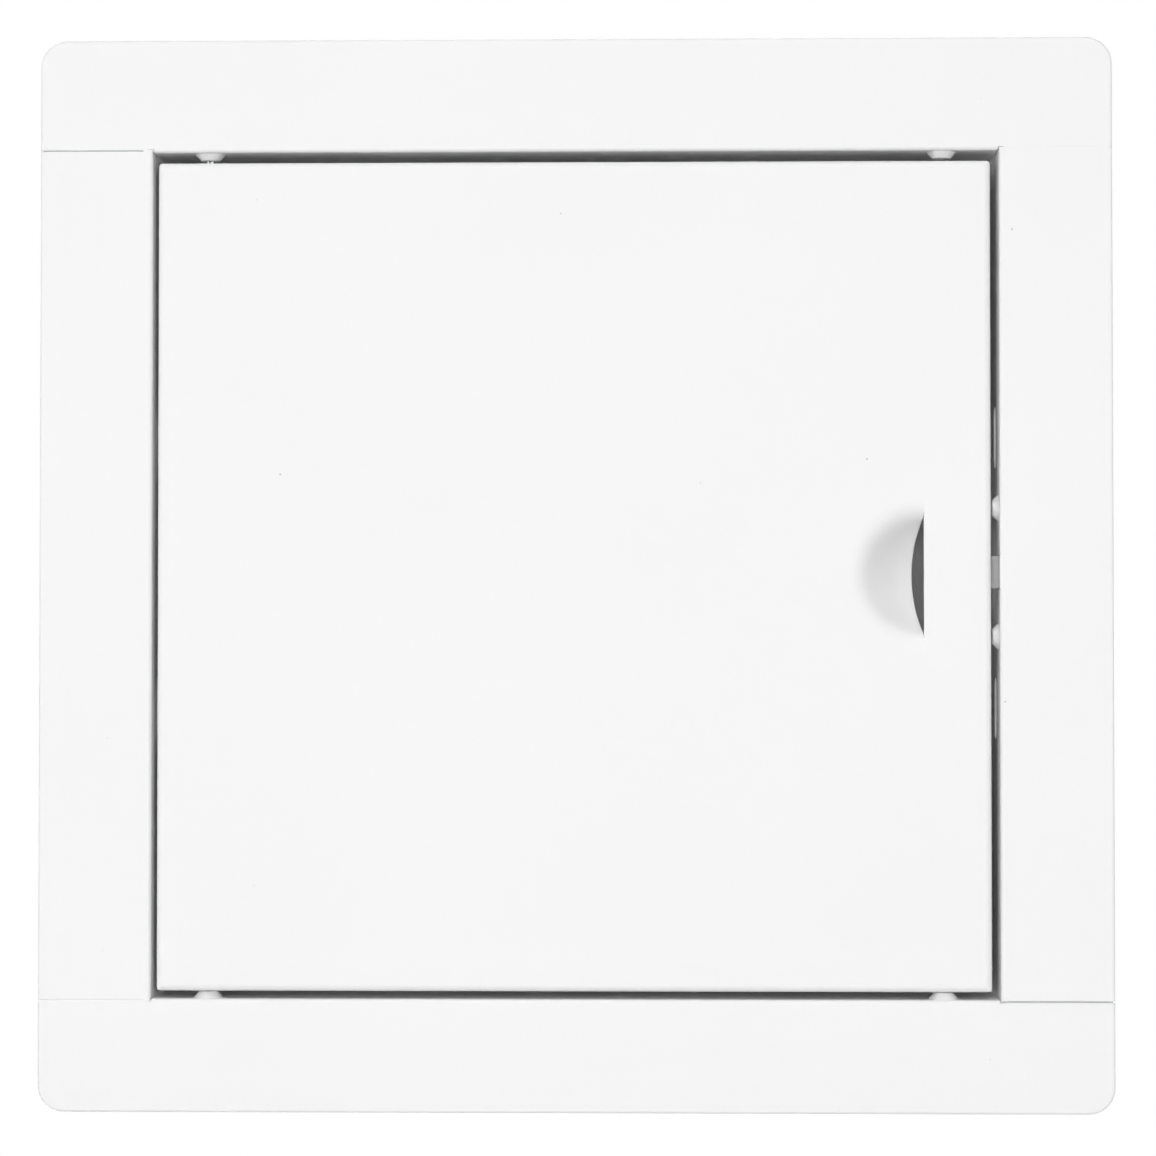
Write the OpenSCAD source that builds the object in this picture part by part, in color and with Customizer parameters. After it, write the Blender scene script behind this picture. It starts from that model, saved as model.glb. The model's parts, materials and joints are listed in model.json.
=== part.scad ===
// Flush access panel: riveted sheet frame, hinged tray door with a pressed finger pull, sprung catch.
// Millimetres. The front faces -Y, +X is to the right and +Z is up, as the panel sits in a wall.
// The origin is the centre of the opening, in the plane of the flange's back face.

/* [Frame] */
// Overall width of the flange
overall_w = 250; // [240:1:300]
// Overall height of the flange
overall_h = 250; // [240:1:300]
// Clear width between the side collars
opening_w = 197.4; // [190:0.1:205]
// Clear height between the top and bottom collars
opening_h = 197.4; // [190:0.1:205]
// Sheet thickness of the frame
frame_sheet = 0.7; // [0.5:0.1:1]
// Inside radius of the bend between flange and collar
frame_bend = 0.1; // [0.1:0.1:1.2]
// Depth of the collar behind the front of the flange
collar_depth = 25; // [20:1:40]
// Radius of the four outer corners of the flange
corner_r = 6.2; // [2:0.1:12]
// Gap where a rail butts against a stile
seam = 0.25; // [0.1:0.05:0.4]
// Share of the right stile's two seams that lies at its lower end
seam_share = 0.75; // [0.5:0.05:0.8]
// How far the seam lies beyond the edge of the opening
seam_rise = 0.4; // [0.2:0.1:0.5]
// Radius that the coat gives the flange's outer edges
edge_ease = 0.6; // [0.2:0.05:0.65]
// Radius that the coat gives the edges of a seam
seam_ease = 0.25; // [0.1:0.05:0.4]
// Width of the bend relief at each corner of the opening
relief = 1.4; // [0.4:0.1:1.8]

/* [Corner ears] */
// Length of the ear that laps a rail, from the outside of the stile
ear_len = 20; // [18:0.5:30]
// Width of the ear
ear_w = 8; // [7:0.5:12]
// Inside bend radius of the ears and the stop lug
ear_bend = 0.3; // [0.2:0.1:0.6]
// Fit between an ear and the rail that it laps
ear_fit = 0.05; // [0.02:0.01:0.1]

/* [Rivets] */
// Distance of the corner rivets and the hinge from the corners of the opening
rivet_inset = 13; // [11:0.5:16]
// Depth of the corner rivets and the hinge axis behind the front face
rivet_depth = 4.8; // [4.6:0.1:5.2]
// Shank diameter of a blind rivet
rivet_d = 3.2; // [2.8:0.1:3.6]
// Diameter of the coned heads at the corners
head_d = 6.9; // [6.4:0.1:7.4]
// Diameter of the coned heads at the catch
catch_head_d = 6.2; // [6:0.1:7.4]
// Height of the coned heads
head_h = 1.5; // [1:0.1:1.5]
// Slope of the flank of the coned heads
head_flank = 48; // [44:1:60]
// Radius around the flat tip of the coned heads
head_edge_r = 0.6; // [0.3:0.1:0.8]
// Diameter of the set bulb on the blind side
bulb_d = 4.9; // [4.4:0.1:5.4]
// Length of the set bulb
bulb_len = 2.6; // [2:0.1:4]
// Diameter of the mandrel stub
mandrel_d = 1.8; // [1.4:0.1:2]
// Diameter of the mandrel's own head
mandrel_head_d = 2.8; // [2.4:0.1:3.2]
// Height of the mandrel's own head
mandrel_head_h = 0.9; // [0.6:0.1:1.4]
// How far the broken mandrel ends below the tip of the head
mandrel_sink = 0.5; // [0.3:0.1:0.8]
// Radial clearance of a shank in its hole, and of a mandrel in its rivet
shank_fit = 0.05; // [0.02:0.01:0.1]

/* [Hinge] */
// Diameter of the slotted hinge pins
pin_d = 2; // [1.8:0.1:2.6]
// Bore of the hinge pins
pin_bore_d = 1.1; // [0.9:0.1:1.2]
// Width of the slot along a hinge pin
pin_slit = 0.6; // [0.4:0.1:0.8]
// Radial running clearance of a pin in the door
pin_fit = 0.05; // [0.02:0.01:0.1]
// Radial fit of a pin in its eyelet
pin_press = 0.01; // [0.01:0.01:0.02]
// Shank diameter of the hinge eyelets
eyelet_d = 4; // [3.6:0.1:4.4]
// Diameter of the eyelet's rolled end
roll_d = 5.8; // [5.2:0.1:6.4]
// Height of the eyelet's rolled end
roll_h = 0.8; // [0.6:0.1:1]
// Length of the plunged collar around each pin hole in the door
plunge_len = 1.4; // [0.8:0.1:2]
// Wall of that plunged collar
plunge_wall = 0.6; // [0.4:0.1:0.8]
// How far a pin reaches past the plunged collar
pin_reach = 1.2; // [0.5:0.1:3]

/* [Door] */
// Gap on the hinge side
gap_hinge = 1.3; // [1.1:0.1:2]
// Gap on the catch side
gap_catch = 2; // [1.9:0.1:2.4]
// Gap at the top
gap_top = 2.4; // [1.9:0.1:3]
// Gap at the bottom
gap_bottom = 1.8; // [1.8:0.1:3]
// Sheet thickness of the door
door_sheet = 0.7; // [0.5:0.1:1]
// Inside radius of the door's bends
door_bend = 0.8; // [0.4:0.1:1]
// Depth of the door's folded edges behind its front face
door_depth = 10; // [9.6:0.1:12]
// Radius of the door's corners, seen from the front
door_corner_r = 1.2; // [1.1:0.1:2]
// Width of the open slit at each folded corner
corner_slit = 0.3; // [0.2:0.05:0.5]

/* [Finger pull] */
// Distance of the pull's straight edge from the door's right edge
pull_inset = 15.6; // [8:0.1:40]
// Radius of the pull where it leaves the flat face
pull_r = 17.4; // [16:0.1:20]
// Depth of the pressed dish
pull_depth = 8; // [6:0.1:8.4]
// Radius of the rolled-in rim
pull_rim = 6; // [4:0.1:9]
// Length of the slot between the straight edge and the dish
pull_slot_len = 27.4; // [20:0.1:28]
// Width of that slot at its middle
pull_slot_w = 2.4; // [1.5:0.1:4]

/* [Catch] */
// Depth of the catch and its rivets behind the front face
catch_depth = 5.2; // [5:0.1:5.6]
// Height of the catch above the middle of the opening
catch_rise = 0.5; // [-20:0.1:20]
// Distance of each catch rivet from the middle of the nose
catch_pitch = 15; // [14:0.1:18]
// Width of the nose along the edge of the door
nose_w = 7.4; // [5:0.1:9]
// Thickness of the nose where it passes the collar
nose_t = 6.6; // [6:0.1:7]
// How far the nose reaches past the outside of the door's edge
nose_bite = 1.1; // [0.9:0.1:1.3]
// Radius of the nose's tip
nose_tip_r = 0.8; // [0.5:0.1:1]
// Slope of the nose's two faces
nose_slope = 45; // [43:1:46]
// Clearance of the nose in the collar's window, on each side
nose_fit = 0.2; // [0.15:0.05:0.3]
// Clearance of the nose in the door's strike slot, on each side
strike_fit = 0.4; // [0.3:0.1:0.6]
// Thickness of the nose's shoulder
shoulder_t = 1.2; // [0.8:0.1:1.6]
// How far the shoulder overlaps the collar above and below the window
shoulder_lap = 2.4; // [1.5:0.1:3]
// Clearance in front of the shoulder, and behind it to the spring
shoulder_fit = 0.05; // [0.03:0.01:0.1]
// Thickness of the leaf spring
leaf_t = 0.2; // [0.15:0.05:0.4]
// Width of the leaf spring
leaf_w = 6; // [5:0.1:7]
// Length of the leaf spring past each rivet
leaf_end = 4.5; // [3:0.1:6]
// Length of each sloping part of the leaf spring
leaf_ramp = 3; // [2:0.1:3.4]

/* [Stop lug] */
// Width of the stop lug behind the catch
stop_w = 6.4; // [4:0.1:7]
// Length of the stop lug, measured into the opening
stop_len = 4.4; // [3.6:0.1:6]
// Width of the shear slit on each side of the lug
stop_slit = 0.6; // [0.4:0.1:1]
// Clearance between the lug and the closed door
stop_fit = 0.3; // [0.3:0.1:0.6]

/* [Fixing slots] */
// Distance of each fixing slot from the height of the catch
fixing_pitch = 31.8; // [30:0.1:60]
// Depth of the middle of a fixing slot behind the front face
fixing_depth = 12.8; // [10:0.1:16]
// Length of a fixing slot
fixing_len = 14.4; // [10:0.1:16]
// Width of a fixing slot
fixing_w = 5; // [4:0.1:6]

/* [Hidden] */
$fn = 96;

// Overrun of cutting tools past the faces that they cut
cut = 1;
half_w = opening_w / 2;
half_h = opening_h / 2;
frame_bend_out = frame_bend + frame_sheet;
front_y = -frame_sheet;
seam_half = seam / 2;
seam_z = half_h + seam_rise;
right_rise = seam * (2 * seam_share - 1);

hinge_x = -half_w + rivet_inset;
rivet_x = half_w - rivet_inset;
rivet_y = front_y + rivet_depth;
ear_grip = frame_sheet + ear_fit + frame_sheet;
ear_y = rivet_y - ear_w / 2 + frame_sheet;
// Height of the straight flank of the coned heads
head_slope_h = head_h - head_edge_r * (1 - cos(head_flank));
leaf_grip = frame_sheet + leaf_t;

door_left = -half_w + gap_hinge;
door_right = half_w - gap_catch;
door_top = half_h - gap_top;
door_bottom = -half_h + gap_bottom;
door_w = door_right - door_left;
door_h = door_top - door_bottom;
door_x = (door_left + door_right) / 2;
door_z = (door_top + door_bottom) / 2;
door_bend_out = door_bend + door_sheet;
door_rear_y = front_y + door_depth;
pin_hole_d = pin_d + 2 * pin_fit;
plunge_d = pin_hole_d + 2 * plunge_wall;

pull_x = door_right - pull_inset;
// Distance between the centres of the dish and of the rim, which are tangent arcs
pull_span = (pow(pull_r, 2) + pow(pull_depth, 2)) / (2 * pull_depth);
dish_r = pull_span - pull_rim;
slot_half = pull_slot_len / 2;
slot_r = (pow(slot_half, 2) + pow(pull_slot_w, 2)) / (2 * pull_slot_w);

catch_y = front_y + catch_depth;
nose_tip_x = door_right - nose_bite;
nose_half_t = nose_t / 2;
window_w = nose_w + 2 * nose_fit;
window_rear_y = catch_y + nose_half_t + nose_fit;
collar_out_x = half_w + frame_sheet;
shoulder_x = collar_out_x + shoulder_fit;
leaf_mid_x = shoulder_x + shoulder_t + shoulder_fit;
// Half thickness of the nose where it meets the outside of the door's edge
bite_half = nose_tip_r / cos(nose_slope) + (nose_bite - nose_tip_r) * tan(nose_slope);
stop_y = door_rear_y + stop_fit;

// Sheet angle in 2D with its outside corner at the origin and its legs along +x and +y
module angle_section(leg_x, leg_y, sheet, bend) {
    outside = bend + sheet;
    translate([outside, 0])
        square([leg_x - outside, sheet]);
    translate([0, outside])
        square([sheet, leg_y - outside]);
    intersection() {
        square(outside);
        translate([outside, outside])
            difference() {
                circle(outside);
                circle(bend);
            }
    }
}

// Rectangle in 2D, centred, with four round corners
module round_rect(w, h, r) {
    square([w - 2 * r, h], center = true);
    square([w, h - 2 * r], center = true);
    for (x = [-1, 1], z = [-1, 1])
        translate([x * (w / 2 - r), z * (h / 2 - r)])
            circle(r);
}

// Section of a tray in 2D: width along x, depth along +y, with round front corners
module tray_section(w, depth, r) {
    translate([-w / 2, r])
        square([w, depth - r]);
    translate([r - w / 2, 0])
        square([w - 2 * r, r]);
    for (x = [-1, 1])
        translate([x * (w / 2 - r), r])
            circle(r);
}

// Section of a flange strip in 2D from lo to hi along x, with its free edges eased at the front, y = 0
module eased_strip(lo, hi, ease_lo, ease_hi) {
    translate([lo + ease_lo, 0])
        square([hi - lo - ease_lo - ease_hi, frame_sheet]);
    translate([lo, ease_lo])
        square([ease_lo, frame_sheet - ease_lo]);
    translate([hi - ease_hi, ease_hi])
        square([ease_hi, frame_sheet - ease_hi]);
    intersection() {
        translate([lo, 0])
            square([hi - lo, frame_sheet]);
        union() {
            translate([lo + ease_lo, ease_lo])
                circle(ease_lo);
            translate([hi - ease_hi, ease_hi])
                circle(ease_hi);
        }
    }
}

// Flat piece of the flange between two heights, with eased front edges; its outline is the 2D child
module eased_plate(z_lo, z_hi, ease_lo, ease_hi) {
    intersection() {
        rotate([90, 0, 0])
            linear_extrude(frame_sheet)
                children();
        translate([0, front_y, 0])
            linear_extrude(overall_h, center = true)
                eased_strip(-overall_w / 2, overall_w / 2, edge_ease, edge_ease);
        translate([0, front_y, 0])
            rotate([0, -90, 0])
                linear_extrude(overall_w, center = true)
                    eased_strip(z_lo, z_hi, ease_lo, ease_hi);
    }
}

// Places for fasteners: z = 0 is the inside face of the collar, and +z points out of the opening
module on_top(x) {
    translate([x, rivet_y, half_h])
        children();
}

module on_bottom(x) {
    mirror([0, 0, 1])
        on_top(x)
            children();
}

module on_catch(z) {
    translate([half_w, catch_y, catch_rise + z])
        rotate([0, 90, 0])
            children();
}

// Coned head of a rivet or an eyelet, with a flat tip whose edge the coat has rounded
module coned_head(d) {
    edge_r = d / 2 - head_slope_h / tan(head_flank);
    tip_r = edge_r - head_edge_r * sin(head_flank);
    rotate_extrude() {
        translate([tip_r, head_edge_r - head_h])
            circle(head_edge_r);
        polygon([
            [0, 0],
            [d / 2, 0],
            [edge_r, -head_slope_h],
            [tip_r, -head_h],
            [0, -head_h]
        ]);
    }
}

// Set blind rivet with the given head through a stack of the given grip
module blind_rivet(d, grip) {
    bulb_r = bulb_len / 2;
    difference() {
        union() {
            coned_head(d);
            translate([0, 0, -head_h / 2])
                cylinder(h = head_h / 2 + grip + bulb_len, d = rivet_d);
            translate([0, 0, grip + bulb_r])
                rotate_extrude()
                    intersection() {
                        translate([bulb_d / 2 - bulb_r, 0])
                            circle(bulb_r);
                        translate([0, -bulb_r])
                            square([bulb_d, bulb_len]);
                    }
        }
        translate([0, 0, -head_h - cut])
            cylinder(h = head_h + grip + bulb_len + 2 * cut, d = mandrel_d + 2 * shank_fit);
    }
}

// Broken mandrel that stays in a set blind rivet
module mandrel_stub(grip) {
    rivet_end = grip + bulb_len;
    translate([0, 0, mandrel_sink - head_h])
        cylinder(h = rivet_end + head_h - mandrel_sink, d = mandrel_d);
    translate([0, 0, rivet_end])
        cylinder(h = mandrel_head_h, d1 = mandrel_head_d, d2 = mandrel_d);
}

// Hollow hinge rivet, coned inside the opening and rolled over outside
module hinge_eyelet() {
    difference() {
        union() {
            coned_head(head_d);
            translate([0, 0, -head_h / 2])
                cylinder(h = head_h / 2 + ear_grip + roll_h, d = eyelet_d);
            translate([0, 0, ear_grip])
                rotate_extrude() {
                    square([roll_d / 2 - roll_h / 2, roll_h]);
                    translate([roll_d / 2 - roll_h / 2, roll_h / 2])
                        circle(d = roll_h);
                }
        }
        translate([0, 0, -head_h - cut])
            cylinder(h = head_h + ear_grip + roll_h + 2 * cut, d = pin_d + 2 * pin_press);
    }
}

// Slotted spring pin: through its eyelet, across the gap and into the door's folded edge
module hinge_pin(gap) {
    inner_end = gap + door_sheet + plunge_len + pin_reach;
    length = inner_end + ear_grip + roll_h;
    tip = (pin_d - pin_bore_d) / 4;
    translate([0, 0, -inner_end])
        difference() {
            union() {
                translate([0, 0, tip])
                    cylinder(h = length - tip, d = pin_d);
                cylinder(h = tip, d1 = pin_d - 2 * tip, d2 = pin_d);
            }
            translate([0, 0, -cut])
                cylinder(h = length + 2 * cut, d = pin_bore_d);
            translate([-pin_slit / 2, -pin_d, -cut])
                cube([pin_slit, pin_d, length + 2 * cut]);
        }
}

// Outline of the flange above the opening, without its round corners and with a notch over the bend
module rail_plate() {
    bent_half = half_w - seam;
    round_x = overall_w / 2 - corner_r;
    round_z = overall_h / 2 - corner_r;
    difference() {
        union() {
            translate([-overall_w / 2, seam_z + seam_half])
                square([overall_w, round_z - seam_z - seam_half]);
            translate([-round_x, seam_z + seam_half])
                square([2 * round_x, overall_h / 2 - seam_z - seam_half]);
        }
        translate([-bent_half - relief, half_h - cut])
            square([2 * (bent_half + relief), cut + frame_bend_out]);
    }
}

// Round outer corner of the flange, eased like the straight edges, with a flat core that runs into the plate
module rail_corner() {
    core = corner_r - edge_ease;
    translate([overall_w / 2 - corner_r, front_y, overall_h / 2 - corner_r]) {
        rotate([-90, 0, 0])
            rotate([0, 0, -90])
                rotate_extrude(angle = 90)
                    intersection() {
                        eased_strip(-corner_r, corner_r, edge_ease, edge_ease);
                        square(corner_r);
                    }
        translate([-core / 2, 0, -core / 2])
            cube([core, frame_sheet, core]);
    }
}

// Full-width strip: flange with round outer corners, and a collar as wide as the opening
module rail() {
    bent = opening_w - 2 * seam;
    difference() {
        union() {
            eased_plate(seam_z + seam_half, overall_h / 2, seam_ease, edge_ease)
                rail_plate();
            for (side = [0, 1])
                mirror([side, 0, 0])
                    rail_corner();
            translate([-bent / 2, front_y, half_h])
                rotate([90, 0, 90])
                    linear_extrude(bent)
                        angle_section(collar_depth, frame_bend_out + frame_sheet, frame_sheet, frame_bend);
        }
        on_top(rivet_x)
            translate([0, 0, -cut])
                cylinder(h = frame_sheet + 2 * cut, d = rivet_d + 2 * shank_fit);
        on_top(hinge_x)
            translate([0, 0, -cut])
                cylinder(h = frame_sheet + 2 * cut, d = eyelet_d + 2 * shank_fit);
    }
}

// Ear on the right stile's upper end, folded over the outside of the top rail's collar
module stile_ear(hole_d) {
    ear_top = half_h + ear_grip;
    difference() {
        translate([collar_out_x, ear_y + ear_w, ear_top])
            rotate([90, 0, 0])
                linear_extrude(ear_w)
                    rotate(180)
                        angle_section(ear_len, ear_top - half_h + seam + cut, frame_sheet, ear_bend);
        on_top(rivet_x)
            cylinder(h = ear_grip + cut, d = hole_d);
    }
}

// Right-hand strip between the rails, with an ear at each end and a collar that covers the rails' ends;
// its seams are shared out by rise
module stile(hole_d, rise) {
    length = 2 * seam_z - seam;
    low = rise - length / 2;
    flat_x = half_w + frame_bend_out;
    eased_plate(low, low + length, seam_ease, seam_ease)
        translate([flat_x, low])
            square([overall_w / 2 - flat_x, length]);
    translate([half_w, front_y, low])
        linear_extrude(length)
            angle_section(frame_bend_out + frame_sheet, collar_depth, frame_sheet, frame_bend);
    for (side = [0, 1])
        mirror([0, 0, side]) {
            stile_ear(hole_d);
            translate([half_w, ear_y, length / 2 - cut])
                cube([frame_sheet, front_y + collar_depth - ear_y, cut + half_h + frame_sheet - length / 2]);
        }
}

// Round-ended slots in a side collar for the screws that hold the frame in its opening
module fixing_slots() {
    straight = fixing_len - fixing_w;
    for (z = [-1, 1])
        translate([half_w - cut, front_y + fixing_depth, catch_rise + z * fixing_pitch])
            rotate([0, 90, 0])
                linear_extrude(frame_sheet + 2 * cut) {
                    square([straight, fixing_w], center = true);
                    for (end = [-1, 1])
                        translate([end * straight / 2, 0])
                            circle(d = fixing_w);
                }
}

// Window that the stop lug leaves in the collar, with a slit on each side of the lug
module stop_window() {
    window_y = stop_y - ear_bend;
    translate([half_w - cut, window_y, catch_rise - stop_w / 2 - stop_slit])
        cube([frame_sheet + 2 * cut, ear_bend + frame_sheet + stop_len, stop_w + 2 * stop_slit]);
}

// Lug sheared from the collar and folded into the opening, behind the closed door's edge
module stop_lug() {
    root = ear_bend + frame_sheet + cut;
    translate([collar_out_x, stop_y + frame_sheet, catch_rise - stop_w / 2])
        linear_extrude(stop_w)
            rotate(180)
                angle_section(stop_len + frame_sheet, root, frame_sheet, ear_bend);
}

// The dish in 2D, radius along x and depth along +y: all that lies in front of its surface
module dish_section(grow) {
    dish_y = pull_depth - dish_r;
    join_y = dish_y + (dish_r + grow) * (pull_span - pull_depth) / pull_span;
    intersection() {
        translate([0, dish_y])
            circle(dish_r + grow);
        translate([0, join_y])
            square([pull_r, pull_span]);
    }
    difference() {
        square([pull_r, join_y]);
        translate([pull_r, pull_rim])
            circle(pull_rim - grow);
    }
}

// Pressed half dish of the finger pull, with its free edge drawn back from the straight edge
module pull_dish() {
    difference() {
        translate([pull_x, front_y, door_z])
            rotate([-90, 0, 0])
                rotate([0, 0, 90])
                    rotate_extrude(angle = 180)
                        difference() {
                            dish_section(door_sheet);
                            dish_section(0);
                        }
        translate([pull_x - pull_slot_w + slot_r, front_y - cut, door_z])
            rotate([-90, 0, 0])
                cylinder(h = door_depth, r = slot_r);
    }
}

// Half disc that the pull takes out of the flat face
module pull_cutout() {
    translate([pull_x, front_y - cut, door_z])
        rotate([-90, 0, 0])
            linear_extrude(door_sheet + 2 * cut)
                intersection() {
                    circle(pull_r);
                    translate([-pull_r, -pull_r])
                        square([pull_r, 2 * pull_r]);
                }
}

// Closed block with the door's outline, or its inside when inset by the sheet
module door_block(inset, block_rear) {
    block_front = front_y + inset;
    depth = block_rear - block_front;
    w = door_w - 2 * inset;
    h = door_h - 2 * inset;
    bend = door_bend_out - inset;
    translate([door_x, block_front, door_z])
        intersection() {
            rotate([-90, 0, 0])
                linear_extrude(depth)
                    round_rect(w, h, door_corner_r - inset);
            linear_extrude(h, center = true)
                tray_section(w, depth, bend);
            rotate([0, -90, 0])
                linear_extrude(w, center = true)
                    tray_section(h, depth, bend);
        }
}

// Slits where the folded edges meet at the door's four corners
module corner_slits() {
    reach = 2 * door_corner_r;
    for (x = [door_left, door_right], z = [door_bottom, door_top])
        translate([x, front_y + door_bend_out + door_depth / 2, z])
            rotate([0, sign(x) * sign(z) * -45, 0])
                cube([2 * reach, door_depth, corner_slit], center = true);
}

// Slot in the door's catch-side edge that the nose drops into
module strike_slot() {
    slot_t = 2 * (bite_half + strike_fit);
    slot_w = nose_w + 2 * strike_fit;
    translate([door_right - door_sheet / 2, catch_y, catch_rise])
        cube([door_sheet + 2 * cut, slot_t, slot_w], center = true);
}

module top_rail() {
    color("white")
        rail();
}

module bottom_rail() {
    color("white")
        mirror([0, 0, 1])
            rail();
}

module left_stile() {
    color("whitesmoke")
        mirror([1, 0, 0])
            difference() {
                stile(eyelet_d + 2 * shank_fit, 0);
                fixing_slots();
            }
}

module right_stile() {
    color("whitesmoke") {
        difference() {
            stile(rivet_d + 2 * shank_fit, right_rise);
            translate([half_w - cut, front_y - cut, catch_rise - window_w / 2])
                cube([cut + frame_bend_out, window_rear_y - front_y + cut, window_w]);
            for (z = [-1, 1])
                on_catch(z * catch_pitch)
                    translate([0, 0, -cut])
                        cylinder(h = frame_sheet + 2 * cut, d = rivet_d + 2 * shank_fit);
            stop_window();
            fixing_slots();
        }
        translate([half_w, front_y, catch_rise - window_w / 2])
            cube([frame_bend_out + cut, frame_sheet, window_w]);
        stop_lug();
    }
}

module corner_rivet_upper() {
    color("white")
        on_top(rivet_x)
            blind_rivet(head_d, ear_grip);
}

module corner_rivet_lower() {
    color("white")
        on_bottom(rivet_x)
            blind_rivet(head_d, ear_grip);
}

module corner_mandrel_upper() {
    color("gray")
        on_top(rivet_x)
            mandrel_stub(ear_grip);
}

module corner_mandrel_lower() {
    color("gray")
        on_bottom(rivet_x)
            mandrel_stub(ear_grip);
}

module hinge_eyelet_upper() {
    color("white")
        on_top(hinge_x)
            hinge_eyelet();
}

module hinge_eyelet_lower() {
    color("white")
        on_bottom(hinge_x)
            hinge_eyelet();
}

module hinge_pin_upper() {
    color("silver")
        on_top(hinge_x)
            hinge_pin(gap_top);
}

module hinge_pin_lower() {
    color("silver")
        on_bottom(hinge_x)
            hinge_pin(gap_bottom);
}

module door_panel() {
    color("white")
        difference() {
            union() {
                difference() {
                    door_block(0, door_rear_y);
                    door_block(door_sheet, door_rear_y + cut);
                    pull_cutout();
                }
                pull_dish();
                translate([hinge_x, rivet_y, door_top - door_sheet - plunge_len])
                    cylinder(h = plunge_len + door_sheet / 2, d = plunge_d);
                translate([hinge_x, rivet_y, door_bottom + door_sheet / 2])
                    cylinder(h = plunge_len + door_sheet / 2, d = plunge_d);
            }
            translate([hinge_x, rivet_y, door_bottom - cut])
                cylinder(h = door_h + 2 * cut, d = pin_hole_d);
            corner_slits();
            strike_slot();
        }
}

module catch_nose() {
    body_x = shoulder_x + shoulder_t - nose_tip_x;
    tangent = [nose_tip_r * (1 - sin(nose_slope)), nose_tip_r * cos(nose_slope)];
    slope_len = (nose_half_t - tangent[1]) / tan(nose_slope);
    outline = [
        tangent,
        [tangent[0] + slope_len, nose_half_t],
        [body_x, nose_half_t]
    ];
    color("lightgray")
        translate([nose_tip_x, catch_y, catch_rise]) {
            translate([0, 0, -nose_w / 2])
                linear_extrude(nose_w) {
                    translate([nose_tip_r, 0])
                        circle(nose_tip_r);
                    polygon(concat(outline, [for (i = [2, 1, 0]) [outline[i][0], -outline[i][1]]]));
                }
            translate([body_x - shoulder_t, -nose_half_t, -window_w / 2 - shoulder_lap])
                cube([shoulder_t, nose_t, window_w + 2 * shoulder_lap]);
        }
}

module catch_leaf() {
    raised = window_w / 2 + shoulder_lap + nose_fit;
    foot = raised + leaf_ramp;
    tail = catch_pitch + leaf_end;
    half_strip = [[leaf_mid_x, raised], [collar_out_x, foot], [collar_out_x, tail]];
    color("silver")
        difference() {
            translate([0, catch_y + leaf_w / 2, catch_rise])
                rotate([90, 0, 0])
                    linear_extrude(leaf_w)
                        polygon(concat(
                            half_strip,
                            [for (i = [2, 1, 0]) half_strip[i] + [leaf_t, 0]],
                            [for (p = half_strip) [p[0] + leaf_t, -p[1]]],
                            [for (i = [2, 1, 0]) [half_strip[i][0], -half_strip[i][1]]]
                        ));
            for (z = [-1, 1])
                on_catch(z * catch_pitch)
                    cylinder(h = leaf_grip + cut, d = rivet_d + 2 * shank_fit);
        }
}

module catch_rivet_upper() {
    color("white")
        on_catch(catch_pitch)
            blind_rivet(catch_head_d, leaf_grip);
}

module catch_rivet_lower() {
    color("white")
        on_catch(-catch_pitch)
            blind_rivet(catch_head_d, leaf_grip);
}

module catch_mandrel_upper() {
    color("gray")
        on_catch(catch_pitch)
            mandrel_stub(leaf_grip);
}

module catch_mandrel_lower() {
    color("gray")
        on_catch(-catch_pitch)
            mandrel_stub(leaf_grip);
}

top_rail();
bottom_rail();
left_stile();
right_stile();
corner_rivet_upper();
corner_rivet_lower();
corner_mandrel_upper();
corner_mandrel_lower();
hinge_eyelet_upper();
hinge_eyelet_lower();
hinge_pin_upper();
hinge_pin_lower();
door_panel();
catch_nose();
catch_leaf();
catch_rivet_upper();
catch_rivet_lower();
catch_mandrel_upper();
catch_mandrel_lower();
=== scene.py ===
# %% [markdown]
# # A flush access panel in folded sheet steel
#
# The object is a square panel for a wall or a ceiling: a flat frame whose
# collar goes into the opening, and a shallow tray of a door that turns on two
# pins at its left and is held by a sprung nose at its right. Everything that
# is cut, folded or riveted comes from the CAD model, so this lesson is about
# the finishes, a leaf spring cut in two, what fills the seams, the light and
# the camera.

# %% Load the imported model
import json
import math

import bmesh
import bpy
from mathutils import Matrix, Vector


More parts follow.
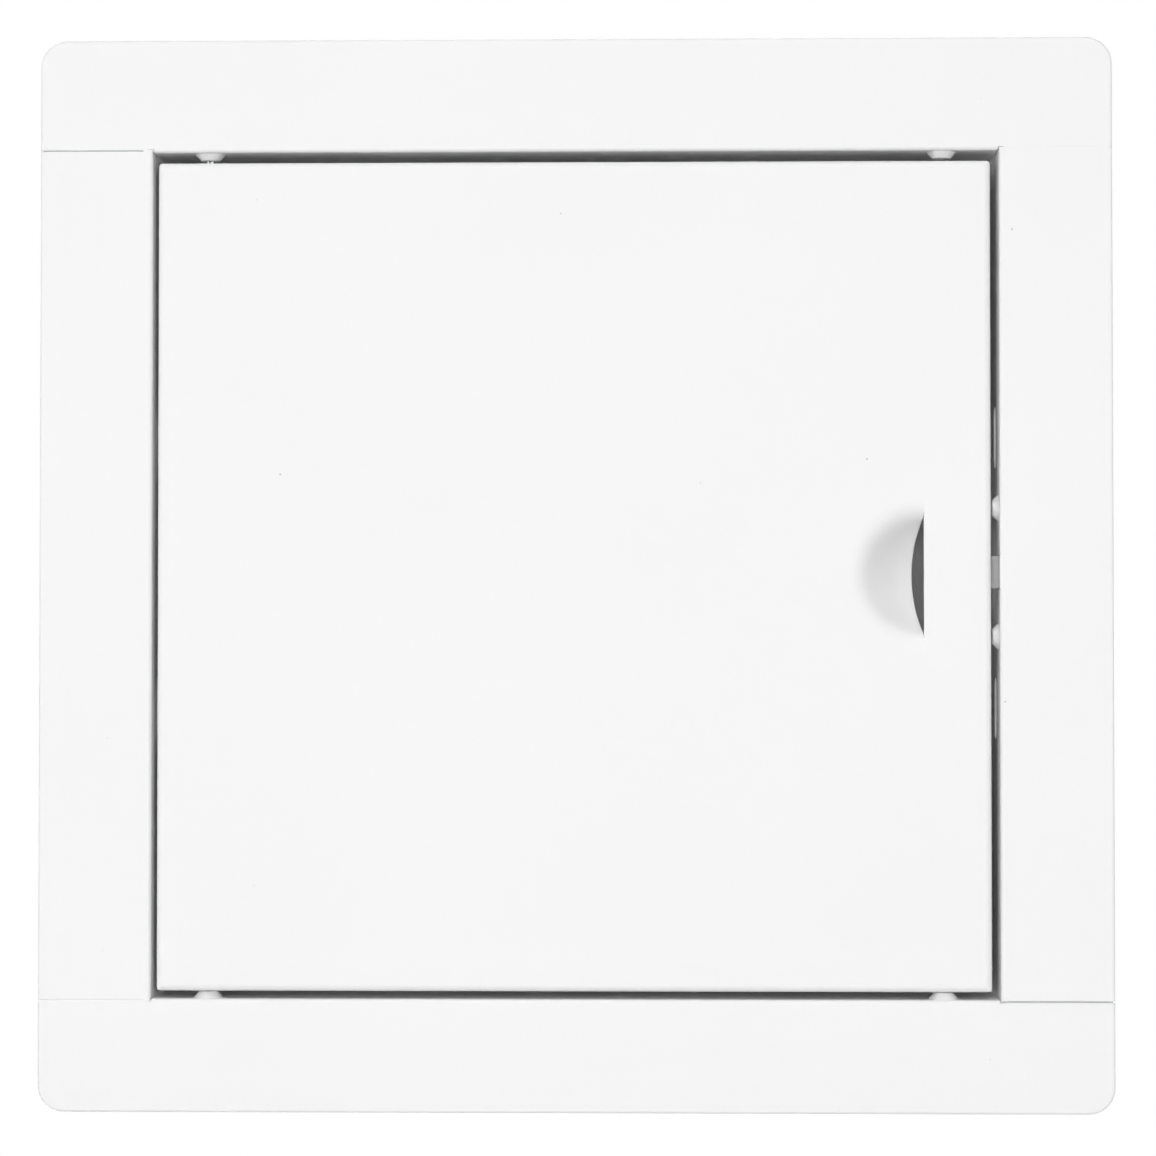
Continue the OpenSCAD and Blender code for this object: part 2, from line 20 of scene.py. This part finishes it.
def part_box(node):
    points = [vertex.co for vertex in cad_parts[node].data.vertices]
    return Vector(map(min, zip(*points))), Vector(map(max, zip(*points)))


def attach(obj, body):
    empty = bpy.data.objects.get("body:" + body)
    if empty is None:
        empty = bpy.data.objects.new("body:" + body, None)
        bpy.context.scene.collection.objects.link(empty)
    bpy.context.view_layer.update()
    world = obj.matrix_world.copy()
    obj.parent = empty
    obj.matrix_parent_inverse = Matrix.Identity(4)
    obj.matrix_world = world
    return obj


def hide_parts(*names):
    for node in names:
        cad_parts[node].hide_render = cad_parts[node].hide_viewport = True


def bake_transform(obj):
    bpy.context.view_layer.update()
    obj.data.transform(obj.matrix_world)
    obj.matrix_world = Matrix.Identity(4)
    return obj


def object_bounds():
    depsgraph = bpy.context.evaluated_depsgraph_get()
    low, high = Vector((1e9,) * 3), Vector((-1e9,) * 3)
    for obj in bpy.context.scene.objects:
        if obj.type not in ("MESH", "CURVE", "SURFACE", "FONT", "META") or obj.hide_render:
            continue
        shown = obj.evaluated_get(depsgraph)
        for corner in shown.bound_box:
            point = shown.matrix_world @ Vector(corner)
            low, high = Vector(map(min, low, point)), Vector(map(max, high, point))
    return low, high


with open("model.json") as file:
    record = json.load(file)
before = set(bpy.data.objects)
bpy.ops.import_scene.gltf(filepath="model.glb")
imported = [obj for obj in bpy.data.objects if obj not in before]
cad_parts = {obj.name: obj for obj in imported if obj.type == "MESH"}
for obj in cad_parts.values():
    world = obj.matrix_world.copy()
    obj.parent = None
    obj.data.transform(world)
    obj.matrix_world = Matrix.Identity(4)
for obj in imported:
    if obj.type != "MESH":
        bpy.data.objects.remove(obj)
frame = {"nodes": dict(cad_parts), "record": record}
cad_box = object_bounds()
MM = 0.001
print("CAD box in mm:", [[round(v / MM, 2) for v in corner] for corner in cad_box])

# %% [markdown]
# ## Where the camera stood
#
# The flange's four corners don't make a true square in the picture: its lower
# and right-hand sides are a little longer, so the camera stood slightly below
# and to the right of the middle. Its place, its aim and its lens were fitted
# to those corners and to the corners of the opening. A lens shift could frame
# the panel too, but a shift stays on in every other view, so the camera is
# really moved and aimed.

# %% Camera
IMAGE_SIDE = 1156
SENSOR_WIDTH = 36.0
FOCAL_PIXELS = 3654.7
camera_place = Vector((22.3, -850.0, -22.7)) * MM
camera_aim = Vector((0.8, -0.7, -0.9)) * MM

camera_data = bpy.data.cameras.new("front_camera")
camera_data.sensor_width = SENSOR_WIDTH
camera_data.lens = FOCAL_PIXELS * SENSOR_WIDTH / IMAGE_SIDE
camera = bpy.data.objects.new("front_camera", camera_data)
camera.location = camera_place
camera.rotation_euler = (camera_aim - camera_place).to_track_quat("-Z", "Y").to_euler()
bpy.context.scene.collection.objects.link(camera)
bpy.context.scene.camera = camera
bpy.context.scene.view_settings.view_transform = "Standard"
print("lens in mm:", round(camera_data.lens, 1))

# %% [markdown]
# ## Three helpers
#
# Colours are written as the sRGB hex values that a paint card gives, and
# Blender's sockets want linear light, so one function turns one into the
# other. The second adds a node to a material: its settings by name, and its
# sockets as values or as links from another node. The third starts a finish,
# with the coordinates of the piece itself, so that a pattern stays on the piece
# when it moves.

# %% Colour and node helpers
def linear(hex_colour):
    """The linear RGBA of an sRGB hex colour such as "F1F1F1"."""
    shares = [int(hex_colour[i:i + 2], 16) / 255 for i in (0, 2, 4)]
    return [s / 12.92 if s <= 0.04045 else ((s + 0.055) / 1.055) ** 2.4 for s in shares] + [1.0]


def add_node(tree, kind, sockets=None, **settings):
    """A new node with its settings, and with its sockets set or linked."""
    made = tree.nodes.new(kind)
    for name, value in settings.items():
        setattr(made, name, value)
    for name, value in (sockets or {}).items():
        if isinstance(value, bpy.types.NodeSocket):
            tree.links.new(value, made.inputs[name])
        else:
            made.inputs[name].default_value = value
    return made


def new_finish(name):
    """An empty node material: the tree, its shader and its coordinates in metres."""
    material = bpy.data.materials.new(name)
    material.use_nodes = True
    shader = material.node_tree.nodes["Principled BSDF"]
    place = add_node(material.node_tree, "ShaderNodeTexCoord").outputs["Object"]
    return material, material.node_tree, shader, place


print("white of the paint card in linear light:", [round(v, 3) for v in linear("F1F1F1")])

# %% [markdown]
# ## The white coat
#
# The sheet is powder coated after it is folded and riveted: charged polyester
# dust is baked until it flows into a film of about 0.07 mm. It never flows
# quite flat, so a satin powder coat has "orange peel", soft waves about 2 mm
# apart and a few thousandths of a millimetre high, and a few specks of dust
# are baked into it. To the eye that is a quiet white with broad, blurred
# highlights. The waves could be modelled, but they are far too low for that, so
# they are noise that moves only the shading. The gloss also varies a little
# over half a millimetre, and the white over some centimetres. The specks are
# cells of a Voronoi pattern, one in each 34 mm square, of which only some carry
# a speck.

# %% Powder coat
PEEL_WAVE = 2.2 * MM
PEEL_HEIGHT = 0.004 * MM
GRIT_WAVE = 0.5 * MM
GRIT_LOW = 0.3
GRIT_HIGH = 0.7
SPECK_CELL = 34 * MM
SPECK_RADIUS = 0.23 * MM
SPECK_SHARE = 0.35
TINT_CLOUD = 60 * MM
COAT_IOR = 1.5
COAT_SMOOTHEST = 0.5
COAT_ROUGHEST = 0.6

powder_coat, tree, shader, place = new_finish("satin_white_powder_coat")
shader.inputs["IOR"].default_value = COAT_IOR

peel = add_node(tree, "ShaderNodeTexNoise", {
    "Vector": place, "Scale": 1 / PEEL_WAVE, "Detail": 2.0, "Roughness": 0.45})
peel_bump = add_node(tree, "ShaderNodeBump", {
    "Height": peel.outputs["Fac"], "Distance": PEEL_HEIGHT, "Strength": 1.0})
tree.links.new(peel_bump.outputs["Normal"], shader.inputs["Normal"])

grit = add_node(tree, "ShaderNodeTexNoise", {
    "Vector": place, "Scale": 1 / GRIT_WAVE, "Detail": 1.0})
gloss = add_node(tree, "ShaderNodeMapRange", {
    "Value": grit.outputs["Fac"], "From Min": GRIT_LOW, "From Max": GRIT_HIGH,
    "To Min": COAT_SMOOTHEST, "To Max": COAT_ROUGHEST})
tree.links.new(gloss.outputs["Result"], shader.inputs["Roughness"])

axes = add_node(tree, "ShaderNodeSeparateXYZ", {"Vector": place})
face = add_node(tree, "ShaderNodeCombineXYZ", {
    "X": axes.outputs["X"], "Y": axes.outputs["Z"]})
cells = add_node(tree, "ShaderNodeTexVoronoi", {
    "Vector": face.outputs["Vector"], "Scale": 1 / SPECK_CELL, "Randomness": 1.0},
    voronoi_dimensions="2D")
chance = add_node(tree, "ShaderNodeSeparateColor", {"Color": cells.outputs["Color"]})
size = add_node(tree, "ShaderNodeMapRange", {
    "Value": chance.outputs["Red"], "From Min": 1 - SPECK_SHARE, "From Max": 1.0,
    "To Min": 0.0, "To Max": SPECK_RADIUS / SPECK_CELL})
within = add_node(tree, "ShaderNodeMath", {
    0: cells.outputs["Distance"], 1: size.outputs["Result"]}, operation="LESS_THAN")
tint = add_node(tree, "ShaderNodeTexNoise", {
    "Vector": place, "Scale": 1 / TINT_CLOUD, "Detail": 1.0})
white = add_node(tree, "ShaderNodeMix", {
    "Factor": tint.outputs["Fac"], "A": linear("F0F0F0"), "B": linear("F3F3F3")},
    data_type="RGBA")
specked = add_node(tree, "ShaderNodeMix", {
    "Factor": within.outputs["Value"], "A": white.outputs["Result"], "B": linear("C4C4C4")},
    data_type="RGBA")
tree.links.new(specked.outputs["Result"], shader.inputs["Base Color"])
print("finish made:", powder_coat.name)

# %% [markdown]
# ## Bare metal
#
# Three kinds of small piece are bare metal. The hinge pins are rolled from
# zinc-plated strip, bright and smooth, with a slot along them that lets them
# spring in their bores. The broken mandrels in the blind rivets are dull plated
# steel, torn rather than cut, so they glint only in grains. The leaf behind the
# catch is rolled spring strip, darker, with fine lines along its length from
# the rolls, here drawn 0.25 mm apart so that they show. All three could be
# plain greys, but a metal's colour lies in its reflections, so each is a real
# metal whose tone, gloss and bump follow one noise.

# %% Plated pin, dull zinc and rolled strip
PLATING_CLOUD = 1.5 * MM
PLATING_HEIGHT = 0.002 * MM
TEAR_GRAIN = 0.3 * MM
TEAR_HEIGHT = 0.03 * MM
ROLL_LINE = 0.25 * MM
ROLL_LENGTH = 12 * MM
ROLL_HEIGHT = 0.002 * MM


def metal_finish(name, dark, light, grain, smoothest, roughest, height):
    """A bare metal whose colour, gloss and bump follow one noise of the given grain."""
    metal, tree, shader, place = new_finish(name)
    stretch = add_node(tree, "ShaderNodeMapping", {
        "Vector": place, "Scale": [1 / length for length in grain]})
    noise = add_node(tree, "ShaderNodeTexNoise", {
        "Vector": stretch.outputs["Vector"], "Scale": 1.0, "Detail": 3.0}).outputs["Fac"]
    colour = add_node(tree, "ShaderNodeMix", {
        "Factor": noise, "A": linear(dark), "B": linear(light)}, data_type="RGBA")
    rough = add_node(tree, "ShaderNodeMapRange", {
        "Value": noise, "To Min": smoothest, "To Max": roughest})
    bump = add_node(tree, "ShaderNodeBump", {"Height": noise, "Distance": height})
    tree.links.new(colour.outputs["Result"], shader.inputs["Base Color"])
    tree.links.new(rough.outputs["Result"], shader.inputs["Roughness"])
    tree.links.new(bump.outputs["Normal"], shader.inputs["Normal"])
    shader.inputs["Metallic"].default_value = 1.0
    return metal


plated_pin = metal_finish(
    "bright_zinc_plated_pin_steel", "B4B6B8", "D3D5D6",
    grain=[PLATING_CLOUD] * 3, smoothest=0.22, roughest=0.34, height=PLATING_HEIGHT)
dull_zinc = metal_finish(
    "dull_zinc_plated_steel", "7E7F80", "A4A5A6",
    grain=[TEAR_GRAIN] * 3, smoothest=0.4, roughest=0.6, height=TEAR_HEIGHT)
rolled_strip = metal_finish(
    "rolled_spring_strip", "75777B", "96989C",
    grain=[ROLL_LINE, ROLL_LINE, ROLL_LENGTH], smoothest=0.28, roughest=0.45, height=ROLL_HEIGHT)
print("finishes made:", plated_pin.name, dull_zinc.name, rolled_strip.name)

# %% [markdown]
# ## The moulded nose
#
# The nose that holds the door is moulded in light grey acetal, a slippery
# plastic that stands up to the rubbing of the door's edge. Its colour is set
# darker, a mid grey, partly its own grey and partly painted shade for the dim
# gap it sits in. Its mould was cut by sparks, which leaves a faint, even grain,
# so its highlights are soft. The grain could be left out at this size, but then
# the nose looks polished in a close view, so a fine noise moves its shading and
# its gloss.

# %% Moulded nose
SPARK_GRAIN = 0.35 * MM
SPARK_HEIGHT = 0.006 * MM
ACETAL_IOR = 1.48
NOSE_SMOOTHEST = 0.34
NOSE_ROUGHEST = 0.5

acetal, tree, shader, place = new_finish("moulded_grey_acetal")
shader.inputs["IOR"].default_value = ACETAL_IOR
spark = add_node(tree, "ShaderNodeTexNoise", {
    "Vector": place, "Scale": 1 / SPARK_GRAIN, "Detail": 2.0}).outputs["Fac"]
spark_bump = add_node(tree, "ShaderNodeBump", {"Height": spark, "Distance": SPARK_HEIGHT})
spark_gloss = add_node(tree, "ShaderNodeMapRange", {
    "Value": spark, "To Min": NOSE_SMOOTHEST, "To Max": NOSE_ROUGHEST})
# Mid grey: partly the acetal's own grey, partly painted shade of the gap round the nose.
nose_grey_with_painted_shade = add_node(tree, "ShaderNodeMix", {
    "Factor": spark, "A": linear("B4B4B4"), "B": linear("BCBCBC")}, data_type="RGBA")
tree.links.new(nose_grey_with_painted_shade.outputs["Result"], shader.inputs["Base Color"])
tree.links.new(spark_gloss.outputs["Result"], shader.inputs["Roughness"])
tree.links.new(spark_bump.outputs["Normal"], shader.inputs["Normal"])
print("finish made:", acetal.name)

# %% [markdown]
# ## Which piece has which finish
#
# The record of the part names a material slot for each piece: the coated sheet
# and the coated rivets, the mandrels, the pins, the spring and the nose. Each
# piece could be painted by its name, but a slot keeps the choice in one place,
# so that pieces of one finish are sure to match.

# %% Each CAD node takes the finish of its slot
finish_of_slot = {
    "powder_coat": powder_coat,
    "mandrel_steel": dull_zinc,
    "pin_steel": plated_pin,
    "spring_steel": rolled_strip,
    "nose_plastic": acetal,
}
for subpart in frame["record"]["subparts"]:
    part = frame["nodes"][subpart["node"]]
    part.data.materials.clear()
    part.data.materials.append(finish_of_slot[subpart["material_slot"]])

# %% [markdown]
# ## The leaf cut in two
#
# The leaf is riveted to the collar at both ends, and its raised middle lies on
# the nose. When the door presses the nose in, the middle goes with it and both
# arms bend. A rigid leaf would let the nose poke through it, so a copy of the
# leaf is cut in two at its middle, the cut of each half is closed, and the whole
# leaf is hidden. The copy is loose triangles, so its doubles are merged before
# it is cut.

# %% Leaf cut in two
MERGE_DISTANCE = 0.001 * MM
leaf_low, leaf_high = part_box("catch_leaf")
leaf_middle = (Vector(leaf_low) + Vector(leaf_high)) / 2
for name, up in (("upper", 1), ("lower", -1)):
    half = bmesh.new()
    half.from_mesh(frame["nodes"]["catch_leaf"].data)
    bmesh.ops.remove_doubles(half, verts=half.verts, dist=MERGE_DISTANCE)
    cut = bmesh.ops.bisect_plane(
        half, geom=half.verts[:] + half.edges[:] + half.faces[:],
        plane_co=leaf_middle, plane_no=(0, 0, up), clear_inner=True)
    rim = [part for part in cut["geom_cut"] if isinstance(part, bmesh.types.BMEdge)]
    bmesh.ops.holes_fill(half, edges=rim)
    bmesh.ops.recalc_face_normals(half, faces=half.faces)
    open_edges = sum(not edge.is_manifold for edge in half.edges)
    volume = half.calc_volume(signed=True)
    mesh = bpy.data.meshes.new(f"bending_leaf_{name}")
    half.to_mesh(mesh)
    half.free()
    mesh.shade_flat()
    mesh.materials.append(rolled_strip)
    arm = bpy.data.objects.new(mesh.name, mesh)
    bpy.context.scene.collection.objects.link(arm)
    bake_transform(arm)
    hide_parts("catch_leaf")
    print("open edges:", open_edges, "volume in mm3:", round(volume / MM ** 3, 2))

# %% [markdown]
# ## What fills the four seams
#
# Each stile butts against the rails. Where the seam is tight the coat bridges
# it, flush or a little sunken, and it can hardly be seen. The wider seams at the
# upper left, which ends short of the corner, and at the lower right show thin
# dark lines, the shade down in the open seam. There a bar of dark dull zinc lies
# at the bottom as painted shade. A seam could be painted on as a stripe, but then
# it would look the same under any light, so a thin bar lies in it, at a depth and
# with a finish of its own. A seam's edges are measured on the flanges, the part
# of a rail or a stile that lies in front of the wall, beyond the bend relief at
# the corner.

# %% Seams
BEND_RELIEF = 1.4 * MM
SEAM_END = 0.5 * MM
CORNER_COAT = 2.2 * MM
FILM_START = 0.1 * MM
FILM = 0.07 * MM
FILM_LAP = 0.14 * MM
FLUSH = 0.03 * MM
SUNKEN = 0.27 * MM
# Depths of the two dark zinc bars that are painted shade in the open seams.
PAINTED_SHADE_DEPTH_UPPER = 0.5 * MM
PAINTED_SHADE_DEPTH_LOWER = 0.6 * MM
opening_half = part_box("top_rail")[0].z
film_end = cad_box[1].x - opening_half - SEAM_END
# The two rows in mandrel_steel are dark bars of painted shade at the bottom of the open seams.
seam_fills = [
    ("upper_left", "left_stile", "top_rail", CORNER_COAT, film_end, PAINTED_SHADE_DEPTH_UPPER, "mandrel_steel"),
    ("upper_left_corner", "left_stile", "top_rail", FILM_START, CORNER_COAT, FLUSH, "powder_coat"),
    ("upper_right", "right_stile", "top_rail", FILM_START, film_end, FLUSH, "powder_coat"),
    ("lower_left", "left_stile", "bottom_rail", FILM_START, film_end, SUNKEN, "powder_coat"),
    ("lower_right", "right_stile", "bottom_rail", FILM_START, film_end, PAINTED_SHADE_DEPTH_LOWER, "mandrel_steel"),
]


def flange_ends(node):
    """The lowest and the highest z of the flat flange of a rail or a stile."""
    heights = [v.co.z for v in frame["nodes"][node].data.vertices
               if v.co.y <= 0 and abs(v.co.x) > opening_half + BEND_RELIEF]
    return min(heights), max(heights)


for name, stile, rail, start, end, depth, slot in seam_fills:
    edges = sorted(flange_ends(stile) + flange_ends(rail))[1:3]
    side = math.copysign(1, sum(corner.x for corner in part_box(stile)))
    film = bmesh.new()
    bmesh.ops.create_cube(film, size=1.0)
    bmesh.ops.scale(film, verts=film.verts, vec=(
        end - start, FILM, edges[1] - edges[0] + 2 * FILM_LAP))
    bmesh.ops.translate(film, verts=film.verts, vec=(
        side * (opening_half + (start + end) / 2), cad_box[0].y + depth + FILM / 2, sum(edges) / 2))
    mesh = bpy.data.meshes.new(f"seam_fill_{name}")
    film.to_mesh(mesh)
    film.free()
    mesh.materials.append(finish_of_slot[slot])
    strip = bpy.data.objects.new(mesh.name, mesh)
    bpy.context.scene.collection.objects.link(strip)
    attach(strip, "frame")
    print(mesh.name, "bridges mm:", round((edges[1] - edges[0]) / MM, 3))

# %% [markdown]
# ## The white background
#
# The background is pure white. It could be a lit white wall, but that throws
# light back on the panel and washes out the gaps round the door. So the white
# comes from the world, and only for the rays that the camera or a reflection
# sends out. For all other rays the world is a low, even light from all round.

# %% World
AMBIENT = 0.17


def background_rays(tree):
    """1 for a ray that looks at the background: from the camera, a reflection or through glass."""
    rays = add_node(tree, "ShaderNodeLightPath")
    seen = add_node(tree, "ShaderNodeMath", {
        0: rays.outputs["Is Camera Ray"], 1: rays.outputs["Is Glossy Ray"]}, operation="MAXIMUM")
    seen = add_node(tree, "ShaderNodeMath", {
        0: seen.outputs["Value"], 1: rays.outputs["Is Transmission Ray"]}, operation="MAXIMUM")
    return seen.outputs["Value"]


world = bpy.data.worlds.new("white_studio")
bpy.context.scene.world = world
world.use_nodes = True
sky = world.node_tree
level = add_node(sky, "ShaderNodeMapRange", {
    "Value": background_rays(sky), "To Min": AMBIENT, "To Max": 1.0})
sky.links.new(level.outputs["Result"], sky.nodes["Background"].inputs["Strength"])
sky.nodes["Background"].inputs["Color"].default_value = linear("FFFFFF")
print("even light from all round:", AMBIENT)

# %% [markdown]
# ## The floor
#
# A pale floor lies well below the panel and throws soft light up into the upper
# part of the pull. A floor of a plain pale colour looks grey where few lamps
# reach it, so this one also shines a little for the rays that look at the
# background, and it keeps its shadows. It ends before the camera's lowest ray
# would meet it.

# %% Floor
FLOOR_DROP = 900 * MM
FLOOR_SIZE = 11000 * MM
FLOOR_GLOW = 0.7
FLOOR_CLOUD = 250 * MM
STAGE_ROUGHNESS = 0.7


def stage_sheet(name, size, turn, place, paint):
    """A flat square of the stage, turned and moved in its mesh."""
    mesh = bpy.data.meshes.new(name)
    sheet = bmesh.new()
    bmesh.ops.create_grid(sheet, x_segments=1, y_segments=1, size=size / 2)
    bmesh.ops.rotate(sheet, matrix=turn, verts=sheet.verts)
    bmesh.ops.translate(sheet, vec=place, verts=sheet.verts)
    sheet.to_mesh(mesh)
    sheet.free()
    mesh.materials.append(paint)
    made = bpy.data.objects.new(name, mesh)
    bpy.context.scene.collection.objects.link(made)


floor_paint, tree, shader, place = new_finish("pale_studio_floor")
shader.inputs["Roughness"].default_value = STAGE_ROUGHNESS
cloud = add_node(tree, "ShaderNodeTexNoise", {
    "Vector": place, "Scale": 1 / FLOOR_CLOUD}).outputs["Fac"]
pale = add_node(tree, "ShaderNodeMix", {
    "Factor": cloud, "A": linear("F4F4F4"), "B": linear("F8F8F8")}, data_type="RGBA")
tree.links.new(pale.outputs["Result"], shader.inputs["Base Color"])
glow = add_node(tree, "ShaderNodeMath", {
    0: background_rays(tree), 1: FLOOR_GLOW}, operation="MULTIPLY")
shader.inputs["Emission Color"].default_value = linear("FFFFFF")
tree.links.new(glow.outputs["Value"], shader.inputs["Emission Strength"])
stage_sheet("studio_floor", FLOOR_SIZE, Matrix(), (0, 0, -FLOOR_DROP), floor_paint)
print("floor below the origin in mm:", FLOOR_DROP / MM)

# %% [markdown]
# ## A white board in the back of the collar
#
# The gaps and the slot of the pull look into a dim, closed space, as when the
# panel lies on a table. A white board that closes the back of the collar stands
# in for the table, with a faint glow for the light that creeps in under the
# flange. It is opaque from the front, so no light comes in from behind. A plain
# board would also hide the inside from the rear, so from behind it isn't there:
# a ray that meets its back goes through, and what that ray lights afterwards
# isn't shaded by it.

# %% Board
BOARD_INSET = 0.15 * MM
BOARD_CLOUD = 50 * MM
TABLE_GLOW = 0.012

rear = cad_box[1].y - BOARD_INSET
board_paint, tree, shader, place = new_finish("shaded_white_table")
shader.inputs["Roughness"].default_value = STAGE_ROUGHNESS
shader.inputs["Emission Color"].default_value = linear("FFFFFF")
shader.inputs["Emission Strength"].default_value = TABLE_GLOW
cloud = add_node(tree, "ShaderNodeTexNoise", {
    "Vector": place, "Scale": 1 / BOARD_CLOUD}).outputs["Fac"]
pale = add_node(tree, "ShaderNodeMix", {
    "Factor": cloud, "A": linear("ECECEC"), "B": linear("F0F0F0")}, data_type="RGBA")
tree.links.new(pale.outputs["Result"], shader.inputs["Base Color"])
back_side = add_node(tree, "ShaderNodeNewGeometry").outputs["Backfacing"]
passed = add_node(tree, "ShaderNodeLightPath").outputs["Transparent Depth"]
absent = add_node(tree, "ShaderNodeMath", {
    0: back_side, 1: passed}, operation="ADD", use_clamp=True)
clear = add_node(tree, "ShaderNodeBsdfTransparent")
one_way = add_node(tree, "ShaderNodeMixShader", {
    0: absent.outputs["Value"], 1: shader.outputs["BSDF"], 2: clear.outputs["BSDF"]})
tree.links.new(one_way.outputs["Shader"], tree.nodes["Material Output"].inputs["Surface"])
upright = Matrix.Rotation(math.radians(90), 3, "X")
stage_sheet("table_board", 2 * opening_half, upright, (0, rear, 0), board_paint)
print("board behind the wall face in mm:", round(rear / MM, 2))

# %% [markdown]
# ## The soft boxes
#
# The light is broad and soft, a little stronger from above and from the left.
# It comes from soft boxes: one overhead, one on the camera's axis that reaches
# into the slot of the pull, a pair beside it that fills the dish, a pair at the
# sides for the outer edges and one behind for the back. One big box could light
# the front too, but then the slot, the dish and the edges couldn't be set one
# by one. A grid on a box keeps its light together, here as the angle of its
# fan. Places and sizes are in metres.

# %% Soft boxes
GRID_FAN = 60
SIDE_FAN = 70
OPEN_FAN = 180


def soft_box(name, place, side, watts, fan):
    """A square area lamp with a grid: it faces the panel and fans out by an angle in degrees."""
    lamp = bpy.data.lights.new(name, "AREA")
    lamp.size = side
    lamp.energy = watts
    lamp.spread = math.radians(fan)
    box = bpy.data.objects.new(name, lamp)
    box.location = place
    box.rotation_euler = (-Vector(place)).to_track_quat("-Z", "Y").to_euler()
    bpy.context.scene.collection.objects.link(box)


soft_box("overhead_box", (0.0, -1.8, 2.6), 2.0, 4.18, GRID_FAN)
soft_box("front_box", (0.0, -4.5, 0.2), 1.2, 21.0, OPEN_FAN)
soft_box("front_left_box", (-1.1, -3.4, 0.15), 0.5, 3.16, GRID_FAN)
soft_box("front_right_box", (1.1, -3.4, 0.15), 0.5, 2.04, GRID_FAN)
soft_box("side_left_box", (-2.4, -1.1, 0.3), 1.2, 2.04, SIDE_FAN)
soft_box("side_right_box", (2.4, -1.1, 0.3), 1.2, 1.46, SIDE_FAN)
soft_box("rear_box", (-0.3, 1.6, 0.9), 1.2, 16, OPEN_FAN)
